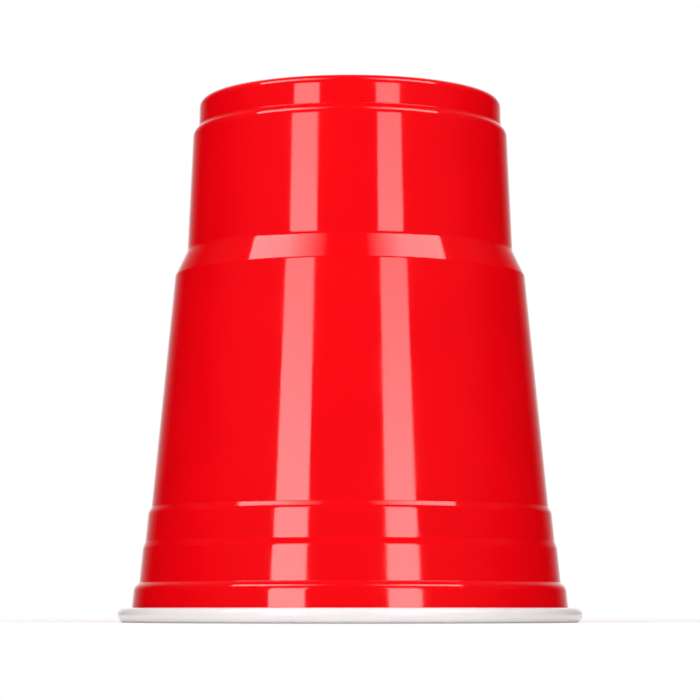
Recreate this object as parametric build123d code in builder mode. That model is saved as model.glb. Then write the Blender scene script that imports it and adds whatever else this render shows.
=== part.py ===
"""Plastic party cup: one thermoformed sheet, red outside and white inside.

The cup stands mouth down on its rolled rim, the way such cups are stacked. Millimetres, +Z up:
the origin is the centre of the plane that the rim rests on, and the foot is at the top.
The section is drawn along the outside of the sheet, from the middle of the base out to the foot,
down the wall and round the rolled rim. It gets its thickness on the inside and is revolved once.
"""

import os
from math import acos, cos, degrees, radians, sin, tan

from build123d import *

os.makedirs("parts", exist_ok=True)

# Overall
rim_diameter = 95.0
cup_height = 108.0
wall = 0.25

# Rolled rim: the sheet curls outwards and its cut edge stops just short of the wall
rim_roll_diameter = 3.0
rim_roll_tip_gap = 0.2

# Wall drafts, in degrees from the cup's axis
body_draft = 5.5
seat_draft = 2.5
foot_draft = 1.0
base_well_draft = 10.0

# Three ledges that narrow the wall next to the lip, heights from the rim plane
first_ledge_height = 7.1
second_ledge_height = 15.1
third_ledge_height = 22.3
first_ledge_width = 1.1
second_ledge_width = 0.5
third_ledge_width = 0.65
first_ledge_rise = 1.0
second_ledge_rise = 1.3
third_ledge_rise = 1.15
ledge_bend = 1.6
ledge_root_bend = 0.35

# Shoulder between the body and the narrow seat above it
seat_height = 31.8
shoulder_rise = 5.2
shoulder_width = 2.5
shoulder_bend = 0.8
shoulder_root_bend = 2.0

# Ledge that narrows the seat to the foot
foot_height = 5.9
foot_ledge_rise = 1.2
foot_ledge_width = 1.2
foot_ledge_bend = 2.0

# Foot ring and the base sunk inside it, crowned a little into the cup
foot_bend = 1.55
foot_flat_width = 1.3
base_well_depth = 5.0
base_crown = 0.4
base_bend = 0.8

# Shallow disc that stiffens the base, raised back towards the foot, and the ring of base round it
base_ring_width = 7.8
base_disc_rise = 0.8
base_disc_slope = 1.6

# Rolled rim: centre of the roll, and where the wall's outside runs into it
roll_outer_radius = rim_roll_diameter / 2
roll_inner_radius = roll_outer_radius - wall
roll_centre_radius = rim_diameter / 2 - roll_outer_radius
roll_start_radius = roll_centre_radius - roll_inner_radius * cos(radians(body_draft))
roll_start_height = roll_outer_radius - roll_inner_radius * sin(radians(body_draft))
roll_tip_angle = degrees(acos((roll_inner_radius - rim_roll_tip_gap) / roll_outer_radius))
roll_turn = 360 - body_draft - roll_tip_angle

# A bend's outside is one wall larger than its inside
ledge_outer_bend = ledge_bend + wall
shoulder_outer_bend = shoulder_bend + wall
foot_ledge_outer_bend = foot_ledge_bend + wall
foot_outer_bend = foot_bend + wall
base_outer_bend = base_bend + wall


def drafted(start, height, draft):
    """The corner above start at this height, on a wall that leans in by draft."""
    radius, base = start
    return (radius - (height - base) * tan(radians(draft)), height)


def stepped(start, width, rise):
    """The corner that a ledge of this width and rise leads to."""
    radius, base = start
    return (radius - width, base + rise)


# Corners of the outside, from the rim up to the foot, before they are rounded
roll_start = (roll_start_radius, roll_start_height)
first_ledge = drafted(roll_start, first_ledge_height, body_draft)
second_band = stepped(first_ledge, first_ledge_width, first_ledge_rise)
second_ledge = drafted(second_band, second_ledge_height, body_draft)
third_band = stepped(second_ledge, second_ledge_width, second_ledge_rise)
third_ledge = drafted(third_band, third_ledge_height, body_draft)
body_wall = stepped(third_ledge, third_ledge_width, third_ledge_rise)
shoulder = drafted(body_wall, cup_height - seat_height - shoulder_rise, body_draft)
seat_wall = stepped(shoulder, shoulder_width, shoulder_rise)
foot_ledge = drafted(seat_wall, cup_height - foot_height - foot_ledge_rise, seat_draft)
foot_wall = stepped(foot_ledge, foot_ledge_width, foot_ledge_rise)
foot_edge = drafted(foot_wall, cup_height, foot_draft)

# Corners of the base: across the foot ring, down into the well, in to the disc and the axis
foot_bend_reach = foot_outer_bend * tan(radians(90 - foot_draft) / 2)
well_bend_reach = base_outer_bend * tan(radians(90 - base_well_draft) / 2)
foot_inner_radius = foot_edge[0] - foot_bend_reach - foot_flat_width - well_bend_reach
foot_inner_edge = (foot_inner_radius, cup_height)
base_height = cup_height - base_well_depth
base_edge = drafted(foot_inner_edge, base_height, -base_well_draft)
disc_foot = (base_edge[0] - base_ring_width, base_height - base_crown)
disc_edge = stepped(disc_foot, base_disc_slope, base_disc_rise)
base_centre = (0, disc_edge[1])

with BuildPart() as party_cup:
    with BuildSketch(Plane.XZ):
        with BuildLine():
            outside = FilletPolyline(
                base_centre,
                disc_edge,
                disc_foot,
                base_edge,
                foot_inner_edge,
                foot_edge,
                foot_wall,
                foot_ledge,
                seat_wall,
                shoulder,
                body_wall,
                third_ledge,
                third_band,
                second_ledge,
                second_band,
                first_ledge,
                roll_start,
                radius=[
                    base_outer_bend,
                    base_bend,
                    base_bend,
                    base_outer_bend,
                    foot_outer_bend,
                    ledge_root_bend,
                    foot_ledge_outer_bend,
                    shoulder_root_bend,
                    shoulder_outer_bend,
                    ledge_root_bend,
                    ledge_outer_bend,
                    ledge_root_bend,
                    ledge_outer_bend,
                    ledge_root_bend,
                    ledge_outer_bend,
                ],
            )
            offset(amount=wall, side=Side.RIGHT)
        make_face()
        with BuildLine():
            JernArc(outside @ 1, outside % 1, roll_inner_radius, roll_turn)
            offset(amount=wall, side=Side.RIGHT)
        make_face()
    revolve(axis=Axis.Z)

party_cup.part.label = "party_cup"
export_step(party_cup.part, "parts/party_cup.step")
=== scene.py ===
"""Looks of a plastic party cup, formed over its CAD frame and set in a plain studio.

The cup stands mouth down on its rolled rim. It is one formed sheet, red outside and white inside: the
outside is drawn ring by ring from the base to the roll, and the sheet then gets its thickness.
"""

from math import acos, cos, pi, radians, sin, tan

import bpy
from bpy.props import FloatProperty, FloatVectorProperty, IntProperty, PointerProperty
from mathutils import Matrix, Vector


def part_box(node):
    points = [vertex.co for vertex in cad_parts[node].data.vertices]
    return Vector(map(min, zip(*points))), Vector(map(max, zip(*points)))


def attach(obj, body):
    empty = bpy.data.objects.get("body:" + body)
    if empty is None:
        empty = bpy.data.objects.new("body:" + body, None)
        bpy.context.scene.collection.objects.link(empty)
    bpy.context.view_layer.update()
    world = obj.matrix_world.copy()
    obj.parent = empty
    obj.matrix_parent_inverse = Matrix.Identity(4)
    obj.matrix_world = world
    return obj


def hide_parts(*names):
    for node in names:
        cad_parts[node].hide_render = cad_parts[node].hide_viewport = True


bl_info = {
    "name": "Party Cup",
    "version": (1, 0, 0),
    "blender": (4, 5, 0),
    "location": "3D View > Sidebar > Party Cup",
    "description": "Forms a plastic party cup over its CAD frame and sets a plain studio round it",
    "category": "Object",
}

MM = 0.001
CUP_NODE = "party_cup"
CUP_BODY = "root"

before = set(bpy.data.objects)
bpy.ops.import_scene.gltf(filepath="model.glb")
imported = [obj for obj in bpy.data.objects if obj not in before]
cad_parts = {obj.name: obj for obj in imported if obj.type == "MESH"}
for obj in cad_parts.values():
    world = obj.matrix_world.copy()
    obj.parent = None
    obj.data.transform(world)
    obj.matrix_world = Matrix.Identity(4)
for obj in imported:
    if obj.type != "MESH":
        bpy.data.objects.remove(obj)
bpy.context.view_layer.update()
CUP_LOW, CUP_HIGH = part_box(CUP_NODE)
CUP_MIDDLE = (CUP_LOW + CUP_HIGH) / 2
CREASE_ANGLE = radians(40)

# The studio round the cup. A place is an azimuth, an elevation and a distance from the cup's middle:
# azimuth 0 is the camera's side and grows to the right. Each softbox has its name, the places of its two
# ends, its width, its brightness, the share of its length over which it fades towards its second end, and
# the share of its brightness that is left there. The upright strips give the wall its two tall
# reflections, and the booms give the shoulder its two wide ones.
SOFTBOXES = (
    ("strip_left", (-31.6, 2.7, 0.45), (-31.6, 26.7, 0.504), 0.147, 5.4, 1, 0.43),
    ("strip_right", (27.5, 2.7, 0.45), (27.5, 26.7, 0.504), 0.135, 5.2, 1, 0.34),
    ("boom_left", (-86, 46, 0.62), (-19, 60, 0.62), 0.2, 4.5, 0.52, 0),
    ("boom_right", (81, 47, 0.62), (14, 60, 0.62), 0.2, 4.2, 0.45, 0),
)
# The fills light the front, the back and the top evenly, don't fade and don't show in the gloss.
FILLS = (
    ("fill_left", (-32.4, -3, 0.92), (-32.4, 24, 1.0), 0.28, 2.7),
    ("fill_right", (28.2, -3, 0.92), (28.2, 24, 1.0), 0.26, 2.9),
    ("fill_back", (180, 8, 2.0), (180, 40, 2.2), 1.5, 3.5),
    ("fill_top", (0, 75, 1.5), (180, 75, 1.5), 0.8, 2.6),
)
# What the gloss sees round the studio, with angles in degrees. A white backdrop stands behind the cup and
# fades out between two bearings to each side, by the power BACKDROP_FALL, and between two elevations. A
# dim room glows round a direction that is pitched up on the camera's side, out to a soft edge.
BACKDROP_SIDES = (10, 44)
BACKDROP_TOP = (35, 62)
BACKDROP_FALL = 2
ROOM_PITCH = 60
ROOM_EDGE = (70, 85)
ROOM_GLOW = 0.045
# The floor turns to the background's white between two distances from the cup, and is lifted a little
# towards it all over.
FLOOR_SIZE = 8.0
FLOOR_FADE = (0.1, 0.28)
FLOOR_LIFT = 0.2
CAMERA_CLIP = 0.01


def linear(hex_colour):
    """The linear RGBA of an sRGB hex colour."""
    channels = [int(hex_colour[i : i + 2], 16) / 255 for i in (1, 3, 5)]
    return [c / 12.92 if c <= 0.04045 else ((c + 0.055) / 1.055) ** 2.4 for c in channels] + [1.0]


def length(name, description, metres):
    """A length that a user may change."""
    return FloatProperty(
        name=name, description=description, default=metres, min=0, precision=5, unit="LENGTH"
    )


def angle(name, description, degrees):
    """An angle that a user may change."""
    return FloatProperty(
        name=name, description=description, default=radians(degrees), unit="ROTATION", subtype="ANGLE"
    )


def colour(name, description, hex_colour):
    """A colour that a user may change."""
    return FloatVectorProperty(
        name=name,
        description=description,
        default=linear(hex_colour),
        size=4,
        min=0,
        max=1,
        subtype="COLOR",
    )


class CupSizes(bpy.types.PropertyGroup):
    """Sizes of the formed sheet. Heights are above the plane that the rim rests on."""

    rim_diameter: length("Rim diameter", "Across the outside of the rolled rim", CUP_HIGH.x * 2)
    cup_height: length("Cup height", "From the rim's plane to the foot", CUP_HIGH.z)
    wall: length("Wall", "Thickness of the sheet", 0.25 * MM)
    roll_diameter: length("Roll diameter", "Thickness of the rolled rim", 3.0 * MM)
    roll_tip_gap: length("Roll tip gap", "From the roll's cut edge to the wall", 0.2 * MM)

    body_draft: angle("Body draft", "Lean of the wall below the shoulder", 5.5)
    seat_draft: angle("Seat draft", "Lean of the wall above the shoulder", 2.5)
    foot_draft: angle("Foot draft", "Lean of the foot's wall", 1.0)
    well_draft: angle("Well draft", "Lean of the wall inside the foot ring", 10.0)

    first_ledge_height: length("First ledge height", "Start of the ledge next to the rim", 7.1 * MM)
    second_ledge_height: length("Second ledge height", "Start of the middle ledge", 15.1 * MM)
    third_ledge_height: length("Third ledge height", "Start of the ledge next to the body", 22.3 * MM)
    first_ledge_width: length("First ledge width", "How far it steps in", 1.1 * MM)
    second_ledge_width: length("Second ledge width", "How far it steps in", 0.5 * MM)
    third_ledge_width: length("Third ledge width", "How far it steps in", 0.65 * MM)
    first_ledge_rise: length("First ledge rise", "Height of its slope", 1.0 * MM)
    second_ledge_rise: length("Second ledge rise", "Height of its slope", 1.3 * MM)
    third_ledge_rise: length("Third ledge rise", "Height of its slope", 1.15 * MM)
    ledge_bend: length("Ledge bend", "Inner radius of their lower bends", 1.6 * MM)
    ledge_root_bend: length("Ledge root bend", "Outer radius of their upper bends", 0.35 * MM)

    seat_height: length("Seat height", "From the shoulder to the foot's top", 31.8 * MM)
    shoulder_rise: length("Shoulder rise", "Height of the shoulder", 5.2 * MM)
    shoulder_width: length("Shoulder width", "How far the shoulder steps in", 2.5 * MM)
    shoulder_bend: length("Shoulder bend", "Inner radius of its lower bend", 0.8 * MM)
    shoulder_root_bend: length("Shoulder root bend", "Outer radius of its upper bend", 2.0 * MM)

    foot_height: length("Foot height", "Height of the foot's wall", 5.9 * MM)
    foot_ledge_rise: length("Foot ledge rise", "Height of the ledge below the foot", 1.2 * MM)
    foot_ledge_width: length("Foot ledge width", "How far it steps in", 1.2 * MM)
    foot_ledge_bend: length("Foot ledge bend", "Inner radius of its lower bend", 2.0 * MM)
    foot_bend: length("Foot bend", "Inner radius at the foot's edge", 1.55 * MM)
    foot_flat_width: length("Foot flat width", "Width of the ring that a turned cup stands on", 1.3 * MM)

    well_depth: length("Well depth", "From the foot ring down to the base's edge", 5.0 * MM)
    base_crown: length("Base crown", "How far the base dips from its edge to the disc", 0.4 * MM)
    base_bend: length("Base bend", "Inner radius of the base's bends", 0.8 * MM)
    base_ring_width: length("Base ring width", "From the base's edge in to the disc", 7.8 * MM)
    disc_rise: length("Disc rise", "Height of the disc", 0.8 * MM)
    disc_slope: length("Disc slope", "Width of the disc's sloping edge", 1.6 * MM)

    ring_sides: IntProperty(
        name="Ring sides", description="Straight sides of each ring", default=192, min=24
    )
    bend_steps: IntProperty(name="Bend steps", description="Rings round each bend", default=6, min=2)
    roll_steps: IntProperty(name="Roll steps", description="Rings round the rolled rim", default=30, min=8)
    bend_hold: length("Bend hold", "From a bend's end to a ring that keeps the wall flat", 0.1 * MM)


class CupColours(bpy.types.PropertyGroup):
    """Colours of the two-colour sheet."""

    red: colour("Red", "Outside of the sheet", "#F60410")
    white: colour("White", "Inside of the sheet and the rolled rim", "#F6F2F3")


class StudioSettings(bpy.types.PropertyGroup):
    """The plain studio: camera, lamps and floor."""

    camera_distance: length("Camera distance", "From the cup's axis", 0.58)
    camera_height: length("Camera height", "Over the floor", 3 * MM)
    camera_aim: length("Camera aim", "Height on the cup's axis that the camera looks at", 56 * MM)
    camera_lens: FloatProperty(
        name="Camera lens", description="Focal length in millimetres", default=145.0, min=1, unit="CAMERA"
    )
    ambient: FloatProperty(
        name="Ambient", description="Light from all round", default=0.19, min=0, max=1, subtype="FACTOR"
    )
    floor: colour("Floor", "The pale floor", "#E7E7E7")
    backdrop: colour("Backdrop", "The white background", "#FFFFFF")


def drafted(start, height, draft):
    """The corner above start at this height, on a wall that leans in by draft."""
    return Vector((start.x - (height - start.y) * tan(draft), height))


def stepped(start, width, rise):
    """The corner that a ledge of this width and rise leads to."""
    return start + Vector((-width, rise))


def roll_rings(sizes):
    """Radius and height of each ring round the rolled rim, from the wall to the cut edge."""
    outer = sizes.roll_diameter / 2
    inner = outer - sizes.wall
    centre = Vector((sizes.rim_diameter / 2 - outer, outer))
    tip_angle = acos((inner - sizes.roll_tip_gap) / outer)
    start = pi + sizes.body_draft
    turn = 2 * pi - sizes.body_draft - tip_angle
    rings = []
    for step in range(sizes.roll_steps + 1):
        at = start + turn * step / sizes.roll_steps
        rings.append(centre + inner * Vector((cos(at), sin(at))))
    return rings


def wall_corners(sizes, roll_start):
    """Corners of the outside from the base's middle to the roll, each with the radius that rounds it."""
    top = sizes.cup_height
    wall = sizes.wall
    ledge_outer_bend = sizes.ledge_bend + wall

    first_ledge = drafted(roll_start, sizes.first_ledge_height, sizes.body_draft)
    second_band = stepped(first_ledge, sizes.first_ledge_width, sizes.first_ledge_rise)
    second_ledge = drafted(second_band, sizes.second_ledge_height, sizes.body_draft)
    third_band = stepped(second_ledge, sizes.second_ledge_width, sizes.second_ledge_rise)
    third_ledge = drafted(third_band, sizes.third_ledge_height, sizes.body_draft)
    body_wall = stepped(third_ledge, sizes.third_ledge_width, sizes.third_ledge_rise)
    shoulder = drafted(body_wall, top - sizes.seat_height - sizes.shoulder_rise, sizes.body_draft)
    seat_wall = stepped(shoulder, sizes.shoulder_width, sizes.shoulder_rise)
    foot_ledge = drafted(seat_wall, top - sizes.foot_height - sizes.foot_ledge_rise, sizes.seat_draft)
    foot_wall = stepped(foot_ledge, sizes.foot_ledge_width, sizes.foot_ledge_rise)
    foot_edge = drafted(foot_wall, top, sizes.foot_draft)

    foot_outer_bend = sizes.foot_bend + wall
    base_outer_bend = sizes.base_bend + wall
    foot_bend_reach = foot_outer_bend * tan((pi / 2 - sizes.foot_draft) / 2)
    well_bend_reach = base_outer_bend * tan((pi / 2 - sizes.well_draft) / 2)
    foot_ring_width = foot_bend_reach + sizes.foot_flat_width + well_bend_reach
    foot_inner_edge = foot_edge - Vector((foot_ring_width, 0))
    base_edge = drafted(foot_inner_edge, top - sizes.well_depth, -sizes.well_draft)
    disc_foot = base_edge - Vector((sizes.base_ring_width, sizes.base_crown))
    disc_edge = stepped(disc_foot, sizes.disc_slope, sizes.disc_rise)
    base_middle = Vector((0, disc_edge.y))

    return [
        (base_middle, 0),
        (disc_edge, base_outer_bend),
        (disc_foot, sizes.base_bend),
        (base_edge, sizes.base_bend),
        (foot_inner_edge, base_outer_bend),
        (foot_edge, foot_outer_bend),
        (foot_wall, sizes.ledge_root_bend),
        (foot_ledge, sizes.foot_ledge_bend + wall),
        (seat_wall, sizes.shoulder_root_bend),
        (shoulder, sizes.shoulder_bend + wall),
        (body_wall, sizes.ledge_root_bend),
        (third_ledge, ledge_outer_bend),
        (third_band, sizes.ledge_root_bend),
        (second_ledge, ledge_outer_bend),
        (second_band, sizes.ledge_root_bend),
        (first_ledge, ledge_outer_bend),
        (roll_start, 0),
    ]


def wall_rings(sizes, corners):
    """Radius and height of each ring of the wall: every corner is an arc between two holding rings."""
    rings = []
    for (before, _), (corner, bend), (after, _) in zip(corners, corners[1:], corners[2:]):
        back = (before - corner).normalized()
        ahead = (after - corner).normalized()
        half_angle = back.angle(ahead) / 2
        reach = bend / tan(half_angle)
        centre = corner + (back + ahead).normalized() * bend / sin(half_angle)
        spoke = corner + back * reach - centre
        turn = back.angle_signed(-ahead)
        rings.append(corner + back * (reach + sizes.bend_hold))
        for step in range(sizes.bend_steps + 1):
            swing = Matrix.Rotation(-turn * step / sizes.bend_steps, 2)
            rings.append(centre + swing @ spoke)
        rings.append(corner + ahead * (reach + sizes.bend_hold))
    return rings


def extrude_rings(rings, last):
    """Extrudes the selected open edge from ring to ring, starting from the ring called last."""
    for ring in rings:
        grow = ring.x / last.x
        bpy.ops.mesh.extrude_edges_move(TRANSFORM_OT_translate={"value": (0, 0, ring.y - last.y)})
        bpy.ops.transform.resize(value=(grow, grow, 1), center_override=(0, 0, ring.y))
        last = ring


def add_node(tree, kind, settings=None, values=None, links=None):
    """Adds a node with its settings, the values of its sockets and the links into them, by identifier."""
    node = tree.nodes.new(kind)
    for name, value in (settings or {}).items():
        setattr(node, name, value)
    sockets = {socket.identifier: socket for socket in node.inputs}
    for socket, value in (values or {}).items():
        sockets[socket].default_value = value
    for socket, source in (links or {}).items():
        tree.links.new(source, sockets[socket])
    return node


# High-impact polystyrene sheet, formed hot with its red side against the cooled mould: a smooth and glossy
# face whose reflections have crisp edges. The sheet never lies quite flat, so they waver a little, the
# pull of the forming leaves faint lines up the wall, and the colour is a little paler where the sheet is
# thinner.
POLYSTYRENE_IOR = 1.59
WAVE_SIZE = 9 * MM
WAVE_DETAIL = 0
WAVE_DEPTH = 0.008 * MM
# Real draw lines are finer than a pixel of the render, so these are drawn about five times as wide.
DRAW_LINE_SIZE = 1.2 * MM
DRAW_LINE_DETAIL = 2
DRAW_LINE_DEPTH = 0.0008 * MM
DRAW_LINE_STRETCH = 0.02
CLOUD_SIZE = 16 * MM
CLOUD_DETAIL = 2
CLOUD_LOW = 0.3
CLOUD_HIGH = 0.7
COLOUR_DEPTH = (0.96, 1.0)
RED_ROUGHNESS = (0.05, 0.09)
WHITE_ROUGHNESS = (0.10, 0.16)


def polystyrene(name, sheet_colour, roughness):
    """The material of one face of the formed sheet."""
    material = bpy.data.materials.new(name)
    material.use_nodes = True
    tree = material.node_tree
    tree.nodes.clear()
    place = add_node(tree, "ShaderNodeTexCoord").outputs["Object"]
    clouds = add_node(
        tree,
        "ShaderNodeTexNoise",
        values={"Scale": 1 / CLOUD_SIZE, "Detail": CLOUD_DETAIL},
        links={"Vector": place},
    ).outputs["Fac"]
    depth = add_node(
        tree,
        "ShaderNodeMapRange",
        values={
            "From Min": CLOUD_LOW,
            "From Max": CLOUD_HIGH,
            "To Min": COLOUR_DEPTH[0],
            "To Max": COLOUR_DEPTH[1],
        },
        links={"Value": clouds},
    ).outputs["Result"]
    tint = add_node(
        tree, "ShaderNodeHueSaturation", values={"Color": sheet_colour}, links={"Value": depth}
    ).outputs["Color"]
    polish = add_node(
        tree,
        "ShaderNodeMapRange",
        values={
            "From Min": CLOUD_LOW,
            "From Max": CLOUD_HIGH,
            "To Min": roughness[0],
            "To Max": roughness[1],
        },
        links={"Value": clouds},
    ).outputs["Result"]
    waves = add_node(
        tree,
        "ShaderNodeTexNoise",
        values={"Scale": 1 / WAVE_SIZE, "Detail": WAVE_DETAIL},
        links={"Vector": place},
    ).outputs["Fac"]
    waved = add_node(
        tree, "ShaderNodeBump", values={"Distance": WAVE_DEPTH}, links={"Height": waves}
    ).outputs["Normal"]
    drawn = add_node(
        tree,
        "ShaderNodeMapping",
        values={"Scale": (1, 1, DRAW_LINE_STRETCH)},
        links={"Vector": place},
    ).outputs["Vector"]
    lines = add_node(
        tree,
        "ShaderNodeTexNoise",
        values={"Scale": 1 / DRAW_LINE_SIZE, "Detail": DRAW_LINE_DETAIL},
        links={"Vector": drawn},
    ).outputs["Fac"]
    lined = add_node(
        tree,
        "ShaderNodeBump",
        values={"Distance": DRAW_LINE_DEPTH},
        links={"Height": lines, "Normal": waved},
    ).outputs["Normal"]
    surface = add_node(
        tree,
        "ShaderNodeBsdfPrincipled",
        values={"IOR": POLYSTYRENE_IOR},
        links={"Base Color": tint, "Roughness": polish, "Normal": lined},
    ).outputs["BSDF"]
    add_node(tree, "ShaderNodeOutputMaterial", links={"Surface": surface})
    return material


class PARTYCUP_OT_form_sheet(bpy.types.Operator):
    """Forms the cup's sheet over the CAD node that it stands for"""

    bl_idname = "party_cup.form_sheet"
    bl_label = "Form the cup"

    def execute(self, context):
        sizes = context.scene.party_cup_sizes
        colours = context.scene.party_cup_colours
        roll = roll_rings(sizes)
        wall = wall_rings(sizes, wall_corners(sizes, roll[0]))

        bpy.ops.object.select_all(action="DESELECT")
        bpy.ops.mesh.primitive_circle_add(
            vertices=sizes.ring_sides, radius=wall[0].x, fill_type="NGON", location=(0, 0, wall[0].y)
        )
        cup = context.object
        cup.name = "cup_shell"
        cup.data.name = "cup_shell"
        bpy.ops.object.transform_apply(location=True, rotation=True, scale=True)

        bpy.ops.object.mode_set(mode="EDIT")
        bpy.ops.mesh.select_mode(type="EDGE")
        extrude_rings(wall[1:] + roll[:1], wall[0])
        bpy.ops.mesh.select_all(action="SELECT")
        bpy.ops.mesh.normals_make_consistent(inside=False)
        # The roll turns the wall's inside outwards, so it is drawn once the wall faces the right way.
        bpy.ops.mesh.select_all(action="DESELECT")
        bpy.ops.mesh.select_non_manifold(
            use_wire=False, use_multi_face=False, use_non_contiguous=False, use_verts=False
        )
        extrude_rings(roll[1:], roll[0])
        bpy.ops.object.mode_set(mode="OBJECT")

        cup.data.materials.append(polystyrene("red_polystyrene", colours.red, RED_ROUGHNESS))
        cup.data.materials.append(polystyrene("white_polystyrene", colours.white, WHITE_ROUGHNESS))
        sheet = cup.modifiers.new("sheet", "SOLIDIFY")
        sheet.thickness = sizes.wall
        sheet.offset = -1
        sheet.use_even_offset = True
        sheet.use_quality_normals = True
        sheet.material_offset = 1
        sheet.material_offset_rim = 1
        bpy.ops.object.modifier_apply(modifier=sheet.name)
        bpy.ops.object.shade_smooth_by_angle(angle=CREASE_ANGLE)

        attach(cup, CUP_BODY)
        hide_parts(CUP_NODE)
        return {"FINISHED"}


def around(azimuth, elevation, distance):
    """A place round the cup, from two angles in degrees and the distance to the cup's middle."""
    flat = distance * cos(radians(elevation))
    return CUP_MIDDLE + Vector(
        (
            flat * sin(radians(azimuth)),
            -flat * cos(radians(azimuth)),
            distance * sin(radians(elevation)),
        )
    )


def fade_lamp(lamp, share, left):
    """Fades a lamp's face over this share of its length, to what is left at its second end."""
    lamp.use_nodes = True
    tree = lamp.node_tree
    tree.nodes.clear()
    across = add_node(tree, "ShaderNodeNewGeometry").outputs["Parametric"]
    axes = add_node(tree, "ShaderNodeSeparateXYZ", links={"Vector": across}).outputs
    level = add_node(
        tree,
        "ShaderNodeMapRange",
        values={"From Min": 1.0, "From Max": 1.0 - share, "To Min": left},
        links={"Value": axes["Y"]},
    ).outputs["Result"]
    face = add_node(tree, "ShaderNodeEmission", links={"Strength": level}).outputs["Emission"]
    add_node(tree, "ShaderNodeOutputLight", links={"Surface": face})


def add_softbox(name, end, other_end, width, radiance, fade_share=0, fade_left=1, shows=True):
    """Adds a softbox between two places, facing the cup; shows says if the gloss reflects it."""
    start = around(*end)
    along = around(*other_end) - start
    centre = start + along / 2
    upright = along.normalized()
    away = centre - CUP_MIDDLE
    facing = (away - upright * away.dot(upright)).normalized()
    turn = Matrix((upright.cross(facing), upright, facing)).transposed().to_euler()
    bpy.ops.object.light_add(type="AREA", location=centre, rotation=turn)
    lamp = bpy.context.object
    lamp.name = name
    lamp.data.name = name
    lamp.data.shape = "RECTANGLE"
    lamp.data.size = width
    lamp.data.size_y = along.length
    lamp.data.energy = radiance * pi * width * along.length
    if fade_share:
        fade_lamp(lamp.data, fade_share, fade_left)
    lamp.visible_camera = False
    lamp.visible_glossy = shows


def white_world(studio):
    """A world that is white to the eye, a backdrop and a dim room in the gloss, and else an even light."""
    world = bpy.data.worlds.new("white_studio")
    world.use_nodes = True
    tree = world.node_tree
    tree.nodes.clear()
    ray = add_node(tree, "ShaderNodeLightPath").outputs
    towards = add_node(tree, "ShaderNodeTexCoord").outputs["Generated"]
    axes = add_node(tree, "ShaderNodeSeparateXYZ", links={"Vector": towards}).outputs
    aside = add_node(
        tree, "ShaderNodeMath", {"operation": "ABSOLUTE"}, links={"Value": axes["X"]}
    ).outputs["Value"]
    inside = add_node(
        tree,
        "ShaderNodeMapRange",
        values={"From Min": sin(radians(BACKDROP_SIDES[1])), "From Max": sin(radians(BACKDROP_SIDES[0]))},
        links={"Value": aside},
    ).outputs["Result"]
    across = add_node(
        tree,
        "ShaderNodeMath",
        {"operation": "POWER"},
        {"Value_001": BACKDROP_FALL},
        {"Value": inside},
    ).outputs["Value"]
    below = add_node(
        tree,
        "ShaderNodeMapRange",
        values={"From Min": sin(radians(BACKDROP_TOP[1])), "From Max": sin(radians(BACKDROP_TOP[0]))},
        links={"Value": axes["Z"]},
    ).outputs["Result"]
    back = add_node(
        tree, "ShaderNodeMath", {"operation": "GREATER_THAN"}, {"Value_001": 0}, {"Value": axes["Y"]}
    ).outputs["Value"]
    standing = add_node(
        tree,
        "ShaderNodeMath",
        {"operation": "MULTIPLY"},
        links={"Value": across, "Value_001": below},
    ).outputs["Value"]
    behind = add_node(
        tree,
        "ShaderNodeMath",
        {"operation": "MULTIPLY"},
        links={"Value": standing, "Value_001": back},
    ).outputs["Value"]
    upwards = add_node(
        tree,
        "ShaderNodeVectorMath",
        {"operation": "DOT_PRODUCT"},
        {"Vector_001": (0, -cos(radians(ROOM_PITCH)), sin(radians(ROOM_PITCH)))},
        {"Vector": towards},
    ).outputs["Value"]
    room = add_node(
        tree,
        "ShaderNodeMapRange",
        values={
            "From Min": cos(radians(ROOM_EDGE[1])),
            "From Max": cos(radians(ROOM_EDGE[0])),
            "To Max": ROOM_GLOW,
        },
        links={"Value": upwards},
    ).outputs["Result"]
    surroundings = add_node(
        tree,
        "ShaderNodeMath",
        {"operation": "ADD"},
        links={"Value": behind, "Value_001": room},
    ).outputs["Value"]
    mirrored = add_node(
        tree,
        "ShaderNodeMath",
        {"operation": "MAXIMUM"},
        links={"Value": ray["Is Glossy Ray"], "Value_001": ray["Is Transmission Ray"]},
    ).outputs["Value"]
    unseen = add_node(
        tree,
        "ShaderNodeMix",
        values={"A_Float": studio.ambient},
        links={"Factor_Float": mirrored, "B_Float": surroundings},
    ).outputs["Result"]
    strength = add_node(
        tree,
        "ShaderNodeMix",
        values={"B_Float": 1},
        links={"Factor_Float": ray["Is Camera Ray"], "A_Float": unseen},
    ).outputs["Result"]
    background = add_node(
        tree,
        "ShaderNodeBackground",
        values={"Color": studio.backdrop},
        links={"Strength": strength},
    ).outputs["Background"]
    add_node(tree, "ShaderNodeOutputWorld", links={"Surface": background})
    return world


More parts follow.
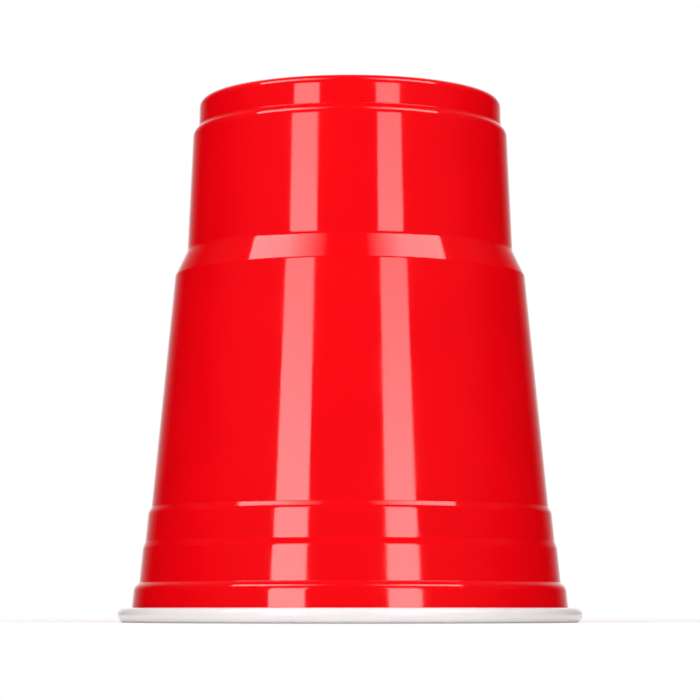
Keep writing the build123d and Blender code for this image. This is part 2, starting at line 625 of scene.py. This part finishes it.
def pale_floor(studio):
    """A matt pale floor that keeps the cup's shadow and turns to the background's white further out."""
    material = bpy.data.materials.new("matt_floor")
    material.use_nodes = True
    tree = material.node_tree
    tree.nodes.clear()
    ray = add_node(tree, "ShaderNodeLightPath").outputs
    mirrored = add_node(
        tree,
        "ShaderNodeMath",
        {"operation": "MAXIMUM"},
        links={"Value": ray["Is Glossy Ray"], "Value_001": ray["Is Transmission Ray"]},
    ).outputs["Value"]
    seen = add_node(
        tree,
        "ShaderNodeMath",
        {"operation": "MAXIMUM"},
        links={"Value": ray["Is Camera Ray"], "Value_001": mirrored},
    ).outputs["Value"]
    place = add_node(tree, "ShaderNodeTexCoord").outputs["Object"]
    distance = add_node(
        tree, "ShaderNodeVectorMath", {"operation": "LENGTH"}, links={"Vector": place}
    ).outputs["Value"]
    far = add_node(
        tree,
        "ShaderNodeMapRange",
        {"interpolation_type": "SMOOTHSTEP"},
        {"From Min": FLOOR_FADE[0], "From Max": FLOOR_FADE[1]},
        {"Value": distance},
    ).outputs["Result"]
    far_seen = add_node(
        tree,
        "ShaderNodeMath",
        {"operation": "MULTIPLY"},
        links={"Value": far, "Value_001": seen},
    ).outputs["Value"]
    lift = add_node(
        tree,
        "ShaderNodeMath",
        {"operation": "MULTIPLY"},
        {"Value_001": FLOOR_LIFT},
        {"Value": seen},
    ).outputs["Value"]
    lit = add_node(tree, "ShaderNodeBsdfDiffuse", values={"Color": studio.floor}).outputs["BSDF"]
    lifted = add_node(
        tree, "ShaderNodeEmission", values={"Color": studio.backdrop}, links={"Strength": lift}
    ).outputs["Emission"]
    near = add_node(
        tree, "ShaderNodeAddShader", links={"Shader": lit, "Shader_001": lifted}
    ).outputs["Shader"]
    white = add_node(tree, "ShaderNodeEmission", values={"Color": studio.backdrop}).outputs["Emission"]
    whole = add_node(
        tree,
        "ShaderNodeMixShader",
        links={"Fac": far_seen, "Shader": near, "Shader_001": white},
    ).outputs["Shader"]
    add_node(tree, "ShaderNodeOutputMaterial", links={"Surface": whole})
    return material


class PARTYCUP_OT_set_stage(bpy.types.Operator):
    """Sets the floor, the lamps, the white background and the camera round the cup"""

    bl_idname = "party_cup.set_stage"
    bl_label = "Set the stage"

    def execute(self, context):
        scene = context.scene
        studio = scene.party_cup_studio
        bpy.ops.object.select_all(action="DESELECT")
        bpy.ops.mesh.primitive_plane_add(size=FLOOR_SIZE)
        floor = context.object
        floor.name = "floor"
        floor.data.materials.append(pale_floor(studio))

        for softbox in SOFTBOXES:
            add_softbox(*softbox)
        for softbox in FILLS:
            add_softbox(*softbox, shows=False)

        scene.world = white_world(studio)
        eye = Vector((0, -studio.camera_distance, studio.camera_height))
        aim = Vector((0, 0, studio.camera_aim))
        turn = (aim - eye).to_track_quat("-Z", "Y").to_euler()
        bpy.ops.object.camera_add(location=eye, rotation=turn)
        camera = context.object
        camera.name = "camera"
        camera.data.lens = studio.camera_lens
        camera.data.clip_start = CAMERA_CLIP
        scene.camera = camera
        scene.view_settings.view_transform = "Standard"
        return {"FINISHED"}


class PARTYCUP_PT_panel(bpy.types.Panel):
    """Lists the cup's sizes and colours and the studio"""

    bl_idname = "PARTYCUP_PT_panel"
    bl_label = "Party Cup"
    bl_space_type = "VIEW_3D"
    bl_region_type = "UI"
    bl_category = "Party Cup"

    def draw(self, context):
        layout = self.layout
        groups = (
            (PARTYCUP_OT_form_sheet, context.scene.party_cup_sizes),
            (PARTYCUP_OT_form_sheet, context.scene.party_cup_colours),
            (PARTYCUP_OT_set_stage, context.scene.party_cup_studio),
        )
        for operator, group in groups:
            box = layout.box()
            box.operator(operator.bl_idname)
            for name in group.__annotations__:
                box.prop(group, name)


CLASSES = (
    CupSizes,
    CupColours,
    StudioSettings,
    PARTYCUP_OT_form_sheet,
    PARTYCUP_OT_set_stage,
    PARTYCUP_PT_panel,
)


def register():
    """Adds the classes and the settings to Blender."""
    for cls in CLASSES:
        bpy.utils.register_class(cls)
    bpy.types.Scene.party_cup_sizes = PointerProperty(type=CupSizes)
    bpy.types.Scene.party_cup_colours = PointerProperty(type=CupColours)
    bpy.types.Scene.party_cup_studio = PointerProperty(type=StudioSettings)


def unregister():
    """Takes the settings and the classes out again."""
    del bpy.types.Scene.party_cup_studio
    del bpy.types.Scene.party_cup_colours
    del bpy.types.Scene.party_cup_sizes
    for cls in reversed(CLASSES):
        bpy.utils.unregister_class(cls)


def main():
    """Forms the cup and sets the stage."""
    register()
    bpy.ops.party_cup.form_sheet()
    bpy.ops.party_cup.set_stage()


if __name__ == "__main__":
    main()
